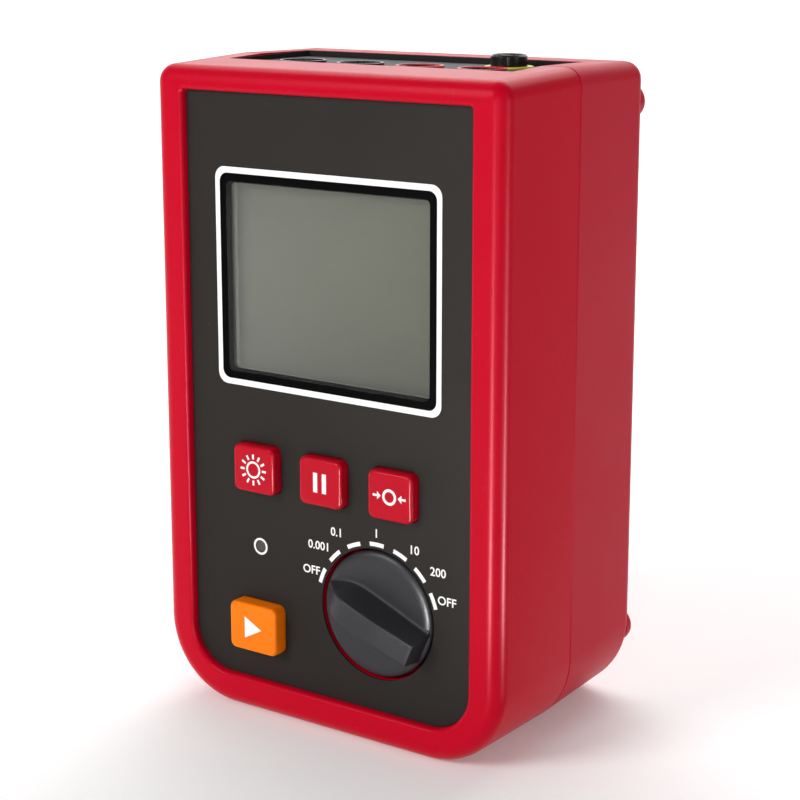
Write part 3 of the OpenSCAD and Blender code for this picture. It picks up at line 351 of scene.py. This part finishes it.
def piece(name, vertices, faces, material, body="meter", round_off=0.0):
    """Mesh that rides on a body, with its edges rounded off where that is asked for."""
    mesh = bpy.data.meshes.new(name)
    mesh.from_pydata([Vector(v) / 1000 for v in vertices], [], faces)
    mesh.update()
    turned = bmesh.new()
    turned.from_mesh(mesh)
    bmesh.ops.recalc_face_normals(turned, faces=turned.faces)
    turned.to_mesh(mesh)
    turned.free()
    obj = bpy.data.objects.new(name, mesh)
    scene.collection.objects.link(obj)
    mesh.materials.append(material)
    if round_off > 0:
        bevel = obj.modifiers.new("rounded edges", "BEVEL")
        bevel.width = round_off / 1000
        bevel.segments = 2
        bevel.limit_method = "ANGLE"
        bevel.angle_limit = BEVEL_ANGLE
    smooth(obj)
    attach(obj, body)
    return obj


def rounded(cx, cz, half_w, half_h, r, steps=8):
    """Outline of a rectangle with round corners."""
    points = []
    for sx, sz, start in ((1, -1, -90), (1, 1, 0), (-1, 1, 90), (-1, -1, 180)):
        for i in range(steps + 1):
            a = math.radians(start + 90 * i / steps)
            points.append((cx + sx * (half_w - r) + r * math.cos(a),
                           cz + sz * (half_h - r) + r * math.sin(a)))
    return points


def circle(cx, cz, r, steps=48):
    turns = [2 * math.pi * i / steps for i in range(steps)]
    return [(cx + r * math.cos(a), cz + r * math.sin(a)) for a in turns]


def bar(x0, z0, x1, z1, width):
    """Outline of a straight bar between two points."""
    along = Vector((x1 - x0, z1 - z0)).normalized() * width / 2
    side = Vector((-along.y, along.x))
    a, b = Vector((x0, z0)), Vector((x1, z1))
    return [tuple(p) for p in (a - side, b - side, b + side, a + side)]


def arc_bar(cx, cz, r, start, end, width, steps=20):
    """Outline of a bar bent round a centre, with its angles in degrees."""
    outer, inner = [], []
    for i in range(steps + 1):
        a = math.radians(start + (end - start) * i / steps)
        outer.append((cx + (r + width / 2) * math.cos(a), cz + (r + width / 2) * math.sin(a)))
        inner.append((cx + (r - width / 2) * math.cos(a), cz + (r - width / 2) * math.sin(a)))
    return outer + inner[::-1]


def ring_bars(r, width):
    """Ring round the middle of a key, as two half rings."""
    return [arc_bar(0, 0, r, start, start + 180, width) for start in (0, 180)]


def closed_ring(name, outer, inner, outer_end, inner_end, material, **more):
    """Closed solid between four loops that have the same number of points."""
    n = len(outer)
    faces = []
    for i in range(n):
        k = (i + 1) % n
        faces += [(i, k, n + k, n + i), (2 * n + i, 3 * n + i, 3 * n + k, 2 * n + k),
                  (i, 2 * n + i, 2 * n + k, k), (n + i, n + k, 3 * n + k, 3 * n + i)]
    piece(name, [*outer, *inner, *outer_end, *inner_end], faces, material, **more)


def band(name, outer, inner, near, far, material):
    """Thin flat ring in the plane of the front, between two outlines and two depths."""
    loops = [[(x, y, z) for x, z in outline] for y in (near, far) for outline in (outer, inner)]
    closed_ring(name, *loops, material)


def prints(name, shapes, near, far, body="meter"):
    """Flat raised shapes, each an outline in the plane of the front."""
    vertices, faces = [], []
    for shape in shapes:
        n, start = len(shape), len(vertices)
        vertices += [(x, near, z) for x, z in shape] + [(x, far, z) for x, z in shape]
        faces.append(tuple(start + i for i in range(n)))
        faces.append(tuple(start + n + i for i in range(n - 1, -1, -1)))
        faces += [(start + i, start + n + i, start + n + (i + 1) % n, start + (i + 1) % n)
                  for i in range(n)]
    piece(name, vertices, faces, PRINT, body)


CAP_SHARE = 0.72            # height of a capital over the font's size
LETTER_HALF_DEPTH, LETTER_SWELL = 0.00002, 0.00005      # metres


def words(name, text, x, z, height, near):
    """Raised print of plain characters, centred on a point of the front."""
    curve = bpy.data.curves.new(name, "FONT")
    curve.body = text
    curve.align_x = "CENTER"
    curve.align_y = "CENTER"
    curve.size = height / CAP_SHARE / 1000
    curve.resolution_u = 3
    curve.extrude = LETTER_HALF_DEPTH
    curve.offset = LETTER_SWELL
    made = bpy.data.objects.new(name + " curve", curve)
    scene.collection.objects.link(made)
    bpy.context.view_layer.update()
    depsgraph = bpy.context.evaluated_depsgraph_get()
    mesh = bpy.data.meshes.new_from_object(made.evaluated_get(depsgraph))
    bpy.data.objects.remove(made)
    for v in mesh.vertices:
        v.co = Vector((x / 1000 + v.co.x, near / 1000 - v.co.z, z / 1000 + v.co.y))
    mesh.name = name
    mesh.materials.clear()
    mesh.materials.append(PRINT)
    obj = bpy.data.objects.new(name, mesh)
    scene.collection.objects.link(obj)
    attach(obj, "meter")


# Print on the overlay, and black paint on the window

PRINT_Y = FACE_Y - 0.04
SINK_Y = FACE_Y + 0.03
PAINT = 0.02
# Edges round the window: distance out, across and up, and corner radius
LINE_OUTER, LINE_INNER = (1.45, 1.6, 3.0), (0.02, 0.02, 2.4)
PAINT_OUTER, BORDER_INNER = (-PAINT, -PAINT, 2.4), (-2.05, -2.05, 1.6)
MASK_INNER, SIDE_INNER = (-2.6, -2.6, 1.2), (-0.1, -0.1, 2.35)
MASK_FRONT, SIDE_BACK = WINDOW_BACK - 0.08, WINDOW_BACK - 0.05
LAMP_RING_OUTER, LAMP_RING_INNER = 2.3, 1.72


def window_band(name, outer, inner, near, far, material):
    """Band round the window, between two edges and two depths."""
    outlines = [rounded(WINDOW_X, WINDOW_Z, WINDOW_HALF_W + across, WINDOW_HALF_H + up, r)
                for across, up, r in (outer, inner)]
    band(name, *outlines, near, far, material)


window_band("display_line", LINE_OUTER, LINE_INNER, PRINT_Y, SINK_Y, PRINT)
window_band("display_border", PAINT_OUTER, BORDER_INNER, FACE_Y - PAINT, FACE_Y + PAINT, MASK)
window_band("window_mask", PAINT_OUTER, MASK_INNER, MASK_FRONT, WINDOW_BACK - PAINT, MASK)
window_band("window_edge", PAINT_OUTER, SIDE_INNER, SINK_Y, SIDE_BACK, MASK)
lamp_ring = [circle(LAMP_X, LAMP_Z, r) for r in (LAMP_RING_OUTER, LAMP_RING_INNER)]
band("lamp_ring", *lamp_ring, PRINT_Y, SINK_Y, PRINT)


# Dial round the knob: angles run from +X towards the top, seen from the front

FIRST_MARK, MARK_STEP, MARKS = 157.5, 22.5, 7
TICK_R, TICK_HALF_ANGLE, TICK_WIDTH = 18.75, 6.6, 1.1
LABEL_HEIGHT, LABEL_Y = 2.3, PRINT_Y + 0.02
DIAL_X, DIAL_Z = round(KNOB_X, 2), round(KNOB_Z, 2)     # the labels are placed to 0.01
LABELS = (("OFF", -20.85, 8.0), ("0.001", -18.35, 14.98), ("0.1", -12.62, 19.6),
          ("1", -0.11, 21.6), ("10", 11.45, 19.3), ("200", 18.65, 14.84), ("OFF", 21.35, 7.7))

ticks = []
for i in range(MARKS):
    a = FIRST_MARK - i * MARK_STEP
    ticks.append(arc_bar(KNOB_X, KNOB_Z, TICK_R, a - TICK_HALF_ANGLE, a + TICK_HALF_ANGLE,
                         TICK_WIDTH, steps=8))
prints("dial_ticks", ticks, PRINT_Y, SINK_Y)
for i, (text, right, up) in enumerate(LABELS):
    words("dial_label_%d" % i, text, DIAL_X + right, DIAL_Z + up, LABEL_HEIGHT, LABEL_Y)


# Dark wall of the top panel, which hides the cut edge of the case round the recess

WALL_INSET, WALL, WALL_RAISE, WALL_ROUND = 2.03, 0.3, 0.01, 0.08
WALL_FRONT_RISE, WALL_BACK_RISE = 1.05, 1.5


def wall_loop(inset, front_rise, back_rise):
    """Corners of the wall, at a distance inside the panel's edge and above its face."""
    left, right = panel_low.x + inset, panel_high.x - inset
    front, back = panel_low.y + inset, panel_high.y - inset
    low, high = panel_high.z + front_rise, panel_high.z + back_rise
    return [(left, front, low), (right, front, low), (right, back, high), (left, back, high)]


wall_loops = [wall_loop(inset, *rises)
              for rises in ((WALL_RAISE, WALL_RAISE), (WALL_FRONT_RISE, WALL_BACK_RISE))
              for inset in (WALL_INSET, WALL_INSET + WALL)]
closed_ring("panel_wall", *wall_loops, PANEL, round_off=WALL_ROUND)


# The knob: a disc with a rounded rim, and a grip that tapers to a nose at the first mark

GRIP_ANGLE = math.radians(FIRST_MARK)
GRIP_TOP = FACE_Y - knob_low.y
# The grip's half width, how much wider its foot is, and where it ends inside the disc
GRIP_HALF, GRIP_FLARE, GRIP_ROOT = 3.3, 1.2, -0.4
# Rounding of its top edge, foot and blunt end, how far the foot sinks in, and its gap to the rim
TOP_ROUND, FOOT_ROUND, END_ROUND, FOOT_SINK, RIM_GAP = 0.55, 0.9, 0.4, 0.04, 0.35
# The disc's front and back, out from the overlay's face, and the bevel of its back
DISC_FACE, DISC_BACK, DISC_BACK_EDGE, DISC_BACK_BEVEL = 0.3, -6.0, -5.9, 1.6
# Width and drop of its rounded rim, and the radius of the hole left in its middle
RIM, RIM_DROP, HUB = 2.6, 1.3, 0.01
GRIP_STEPS, DISC_TURNS = 52, 120
# Stations along the grip: share of the disc's radius, share of the half width, share of the height
GRIP_SHAPE = [(-0.94, 1, 0.80), (-0.75, 1, 0.84), (-0.5, 1, 0.90), (-0.25, 1, 0.96), (0, 1, 0.99),
              (0.2, 1, 1), (0.36, 0.98, 0.98), (0.5, 0.9, 0.89), (0.62, 0.75, 0.74),
              (0.73, 0.54, 0.55), (0.82, 0.34, 0.36), (0.89, 0.17, 0.2), (0.94, 0.05, 0.1)]


def quarter(steps):
    """Sine and cosine at even steps from 0 to 90 degrees."""
    angles = [math.radians(90 * i / steps) for i in range(steps + 1)]
    return [(math.sin(a), math.cos(a)) for a in angles]


def grip_at(t):
    """Half width and height of the grip at a share of the radius, smoothly between the stations."""
    i = max(j for j in range(len(GRIP_SHAPE) - 1) if GRIP_SHAPE[j][0] <= t + 1e-9)
    a, b = GRIP_SHAPE[i], GRIP_SHAPE[i + 1]
    before = GRIP_SHAPE[max(i - 1, 0)]
    after = GRIP_SHAPE[min(i + 2, len(GRIP_SHAPE) - 1)]
    u = (t - a[0]) / (b[0] - a[0])
    values = []
    for k in (1, 2):
        m0 = (b[k] - before[k]) / max(b[0] - before[0], 1e-6) * (b[0] - a[0])
        m1 = (after[k] - a[k]) / max(after[0] - a[0], 1e-6) * (b[0] - a[0])
        values.append((2 * u**3 - 3 * u**2 + 1) * a[k] + (u**3 - 2 * u**2 + u) * m0
                      + (3 * u**2 - 2 * u**3) * b[k] + (u**3 - u**2) * m1)
    return min(values[0], 1) * GRIP_HALF, min(values[1], 1) * GRIP_TOP


def knob_point(along, across, out):
    """Point of the knob, along and across the grip and out from the overlay's face."""
    ca, sa = math.cos(GRIP_ANGLE), math.sin(GRIP_ANGLE)
    return (KNOB_X + along * ca - across * sa, FACE_Y - out, KNOB_Z + along * sa + across * ca)


def grip_section(t):
    """Outline across the grip: fillet at the foot, leaning side, rounded edge, flat top, mirrored."""
    half, top = grip_at(t)
    along = t * KNOB_R
    edge = min(TOP_ROUND, half * 0.8, max(top - DISC_FACE, 0.2) * 0.5)
    fillet = min(FOOT_ROUND, max(top - DISC_FACE, 0.1) * 0.35)
    base = half + GRIP_FLARE * top / GRIP_TOP
    reach = math.sqrt(max((KNOB_R - RIM_GAP) ** 2 - along**2, 0.01))
    low = DISC_FACE + fillet
    ring = [(min(base + fillet, reach), GRIP_ROOT)]
    ring += [(min(base + fillet * (1 - s), reach), DISC_FACE - FOOT_SINK + fillet * (1 - c))
             for s, c in quarter(6)]
    ring += [(base + (half - base) * k, low + (top - edge - low) * k)
             for k in (i / 6 for i in range(1, 6))]
    ring += [(half - edge + edge * c, top - edge + edge * s) for s, c in quarter(6)]
    ring.append((half * 0.4, top))
    ring += [(-u, v) for u, v in reversed(ring)]
    return [knob_point(along, u, v) for u, v in ring]


def grip_end(first):
    """Rings that round the blunt end of the grip over to its first section."""
    heart = Vector(first[0]).lerp(Vector(first[-1]), 0.5)
    rings = []
    for i in range(4):
        a = math.radians(90 * (1 - i / 4))
        pull, back = END_ROUND * (1 - math.cos(a)), END_ROUND * (1 - math.sin(a))
        shift = Vector(knob_point(back, 0, 0)) - Vector(knob_point(0, 0, 0))
        ring = []
        for v in (Vector(q) for q in first):
            toward = heart - v
            inward = toward.normalized() * min(pull, toward.length * 0.4)
            ring.append(tuple(v + inward + shift))
        rings.append(ring)
    return rings


def faces_between(rows, n, start=0):
    """Faces between rows of n points, each row closed on itself."""
    return [(start + j * n + i, start + j * n + (i + 1) % n,
             start + (j + 1) * n + (i + 1) % n, start + (j + 1) * n + i)
            for j in range(rows - 1) for i in range(n)]


def knob_cap():
    """The finished knob, which stands for the CAD knob."""
    tail, nose = GRIP_SHAPE[0][0], GRIP_SHAPE[-1][0]
    stops = [tail + (nose - tail) * i / GRIP_STEPS for i in range(GRIP_STEPS + 1)]
    rings = grip_end(grip_section(stops[0])) + [grip_section(t) for t in stops[1:]]
    vertices = [q for ring in rings for q in ring]
    n, last = len(rings[0]), (len(rings) - 1) * len(rings[0])
    faces = [tuple(range(n))] + faces_between(len(rings), n) + [tuple(last + i for i in range(n))]

    profile = [(HUB, DISC_FACE), (KNOB_R * 0.5, DISC_FACE)]
    profile += [(KNOB_R - RIM * (1 - s), DISC_FACE - RIM_DROP * (1 - c)) for s, c in quarter(10)]
    profile += [(KNOB_R, DISC_BACK_EDGE), (KNOB_R - DISC_BACK_BEVEL, DISC_BACK), (HUB, DISC_BACK)]
    faces += faces_between(len(profile), DISC_TURNS, len(vertices))
    turns = [2 * math.pi * i / DISC_TURNS for i in range(DISC_TURNS)]
    vertices += [knob_point(r * math.cos(a), r * math.sin(a), v) for r, v in profile for a in turns]
    obj = piece("knob_cap", vertices, faces, KNOB, "knob")
    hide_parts("range_knob")


knob_cap()


# Marks on the keys, as outlines round the middle of each key's face

MARK_RAISE, MARK_SINK = 0.03, 0.05


def key_mark(node, body, shapes):
    low, high = cad(node)
    x, z = middle(low, high)
    prints(node + "_mark", [[(x + u, z + w) for u, w in shape] for shape in shapes],
           low.y - MARK_RAISE, low.y + MARK_SINK, body)


def sun():
    shapes = ring_bars(2.05, 0.55)
    ray_start, ray_end, ray_width, rays = 2.9, 4.2, 0.58, 12
    for i in range(rays):
        a = math.radians(360 * i / rays)
        shapes.append(bar(ray_start * math.cos(a), ray_start * math.sin(a),
                          ray_end * math.cos(a), ray_end * math.sin(a), ray_width))
    return shapes


def two_bars():
    x, half_height, width = 1.4, 2.6, 1.3
    return [bar(side * x, -half_height, side * x, half_height, width) for side in (-1, 1)]


def zero_between_arrows():
    tail, neck, head, tip, barb, width = 5.0, 3.4, 3.7, 2.6, 1.05, 0.6
    return ring_bars(1.75, 0.7) + [
        bar(-tail, 0, -neck, 0, width), bar(neck, 0, tail, 0, width),
        [(-tip, 0), (-head, barb), (-head, -barb)], [(tip, 0), (head, -barb), (head, barb)]]


def triangle():
    left, right, half_height = -2.6, 3.0, 3.0
    return [[(left, -half_height), (right, 0), (left, half_height)]]


key_mark("light_key", "light_button", sun())
key_mark("hold_key", "hold_button", two_bars())
key_mark("zero_key", "zero_button", zero_between_arrows())
key_mark("test_key", "test_button", triangle())


# Floor and backdrop

YAW, PITCH = math.radians(34.57), math.radians(11.93)       # of the camera
FLOOR_DROP, STAGE_GLOW = 0.00002, 0.12
FLOOR_SHADE, FLOOR_ROUGH = 0.9, 0.8


def stage_material(name, shade, rough):
    """Matt surface with a faint glow of its own, which keeps the shadows on it pale."""
    material = bpy.data.materials.new(name)
    material.use_nodes = True
    put(material.node_tree.nodes["Principled BSDF"], {
        "Base Color": (shade, shade, shade, 1), "Roughness": rough, "Specular IOR Level": 0.0,
        "Emission Color": (1, 1, 1, 1), "Emission Strength": STAGE_GLOW})
    return material


def stage_sheet(name, vertices, faces, material):
    mesh = bpy.data.meshes.new(name)
    mesh.from_pydata(vertices, [], faces)
    for face in mesh.polygons:
        face.use_smooth = True
    obj = bpy.data.objects.new(name, mesh)
    mesh.materials.append(material)
    scene.collection.objects.link(obj)
    return obj


def cyclorama():
    """Floor that bends up into a wall behind the meter, square to the camera."""
    near, depth, width, height, bend, steps = -3.0, 1.1, 6.0, 3.0, 0.6, 12
    profile = [(near, 0.0)]
    profile += [(depth + bend * s, bend * (1 - c)) for s, c in quarter(steps)]
    profile.append((depth + bend, height))
    vertices = [(side * math.cos(YAW) - along * math.sin(YAW),
                 side * math.sin(YAW) + along * math.cos(YAW), up - FLOOR_DROP)
                for along, up in profile for side in (-width / 2, width / 2)]
    faces = [(2 * i, 2 * i + 1, 2 * i + 3, 2 * i + 2) for i in range(len(profile) - 1)]
    stage_sheet("backdrop", vertices, faces, stage_material("pale floor", FLOOR_SHADE, FLOOR_ROUGH))


cyclorama()


# Lights

def area(name, place, target, size, power):
    light = bpy.data.lights.new(name, "AREA")
    light.shape = "RECTANGLE"
    light.size, light.size_y = size
    light.energy = power
    obj = bpy.data.objects.new(name, light)
    obj.location = place
    obj.rotation_mode = "QUATERNION"
    obj.rotation_quaternion = (Vector(target) - Vector(place)).to_track_quat("-Z", "Y")
    scene.collection.objects.link(obj)
    return obj


CENTRE, BACKDROP = (0.0, 0.0, 0.09), (-1.0, 1.4, 0.25)
# Name, place, what it shines at, size and power in watts
LIGHTS = (("key light", (-0.45, -1.0, 0.65), CENTRE, (0.5, 0.5), 8.5),
          ("side light", (1.2, -0.2, 0.5), CENTRE, (0.35, 0.9), 1.8),
          ("top light", (-0.1, 0.55, 0.75), CENTRE, (0.9, 0.5), 2.8),
          ("backdrop light", (-0.55, 0.8, 1.5), BACKDROP, (1.6, 0.9), 21),
          ("strip light", (0.55, -1.1, 0.25), CENTRE, (0.06, 0.7), 2.2))
for light in LIGHTS:
    area(*light)


# Seen in reflections alone: two bright strips on the floor that run out from the front right corner,
# and a grey card on the right that keeps the white floor out of the shiny side

STRIP_START, STRIP_GAP = mm(51, -29, 2), 0.1
STRIP_LENGTH, STRIP_WIDTH, STRIP_POWER = 1.0, 0.016, 11.0
FRONT_STRIP, RIGHT_STRIP = 1.0, 91.4        # degrees from the front towards +X
CARD_CORNER = mm(60, -30, 1)
CARD_BACK, CARD_OUT = Vector((0.567, 0.823, 0)), Vector((0.823, -0.567, 0))
CARD_CORNERS = ((0.0, 0.25), (1.1, 0.45), (1.1, -0.15), (0.0, 0.0))     # back and out
CARD_SHADE, CARD_ROUGH = 0.12, 0.9


def reflections_only(obj):
    obj.visible_camera = False
    obj.visible_diffuse = False
    obj.visible_shadow = False


def strip(name, degrees):
    """Light that lies on the floor and shines up."""
    angle = math.radians(degrees)
    way = Vector((math.sin(angle), -math.cos(angle), 0))
    place = STRIP_START + way * (STRIP_GAP + STRIP_LENGTH / 2)
    obj = area(name, place, place + Vector((0, 0, 1)), (STRIP_WIDTH, STRIP_LENGTH), STRIP_POWER)
    obj.rotation_mode = "XYZ"
    obj.rotation_euler = (math.pi, 0, math.atan2(-way.x, way.y))
    reflections_only(obj)


strip("front strip", FRONT_STRIP)
strip("right strip", RIGHT_STRIP)
corners = [tuple(CARD_CORNER + CARD_BACK * back + CARD_OUT * out) for back, out in CARD_CORNERS]
reflections_only(stage_sheet("grey card", corners, [(0, 1, 2, 3)],
                             stage_material("grey card", CARD_SHADE, CARD_ROUGH)))


# Light from all round

AIR_LIGHT = 0.24
world = bpy.data.worlds.new("studio")
world.use_nodes = True
put(world.node_tree.nodes["Background"], {"Color": (1, 1, 1, 1), "Strength": AIR_LIGHT})
scene.world = world


# Camera

FOCAL_PIXELS, IMAGE_PIXELS, SENSOR = 1883.3, 800, 36
LENS_SHIFT, NEAREST = -0.085, 0.01
CAMERA_PLACE = mm(279.56, -403.5, 205.63)
camera = bpy.data.objects.new("camera", bpy.data.cameras.new("camera"))
camera.data.sensor_width = SENSOR
camera.data.lens = FOCAL_PIXELS * SENSOR / IMAGE_PIXELS
camera.data.shift_y = LENS_SHIFT
camera.data.clip_start = NEAREST
camera.location = CAMERA_PLACE
camera.rotation_mode = "QUATERNION"
ahead = Vector((-math.sin(YAW) * math.cos(PITCH), math.cos(YAW) * math.cos(PITCH), -math.sin(PITCH)))
camera.rotation_quaternion = ahead.to_track_quat("-Z", "Y")
scene.collection.objects.link(camera)
scene.camera = camera
scene.view_settings.view_transform = "Standard"
